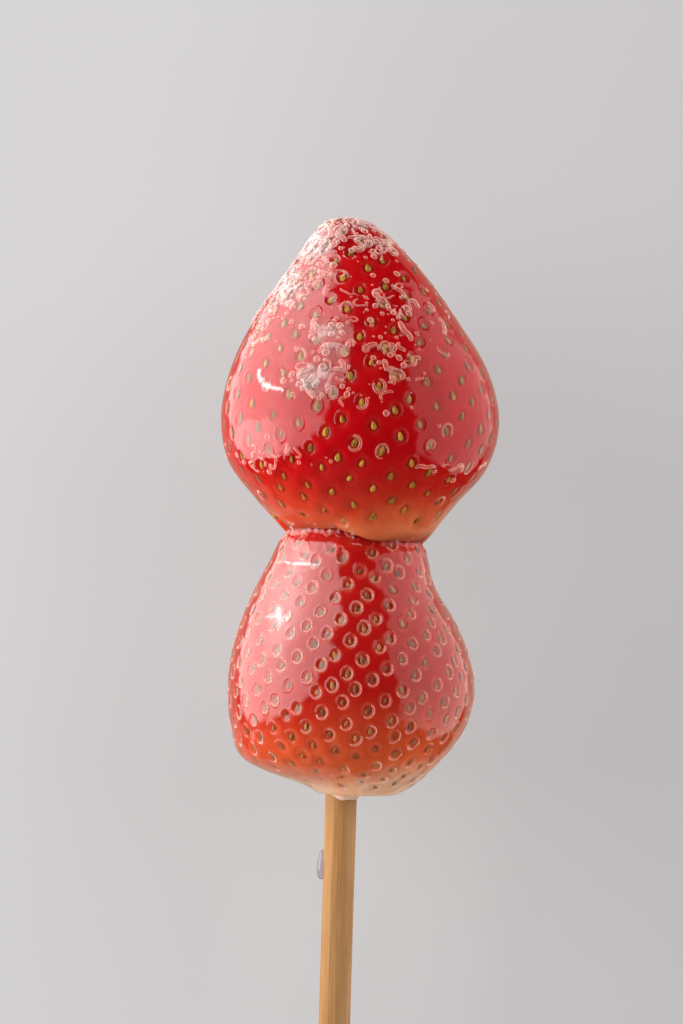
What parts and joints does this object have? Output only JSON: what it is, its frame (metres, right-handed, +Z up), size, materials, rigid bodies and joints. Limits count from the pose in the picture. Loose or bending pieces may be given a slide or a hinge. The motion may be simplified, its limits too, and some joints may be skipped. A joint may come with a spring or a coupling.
{
  "type": "strawberry tanghulu",
  "caption": "Whole hulled strawberries threaded tip outwards on a bamboo skewer under a coat of hard clear sugar, lying on its back.",
  "frame": {"origin": "on the surface it lies on, at the bottom centre of the whole object's bounding box", "axes": "+Y runs along the skewer from its blunt end to the strawberries' tips, +X is to the right of the shown side, and +Z is up, out of the shown side"},
  "size_m": [0.035, 0.16, 0.0321],
  "materials": {
    "glazed_strawberry": "wet-looking red fruit flesh under clear sugar",
    "bamboo": "plain sanded bamboo",
    "sugar_coat": "clear hard sugar, glossy, bubbled in patches",
    "seeds": "dry straw-coloured to brown strawberry seeds"
  },
  "bodies": {
    "root": {"upper_strawberry": "glazed_strawberry", "lower_strawberry": "glazed_strawberry", "skewer": "bamboo"}
  },
  "joints": []
}
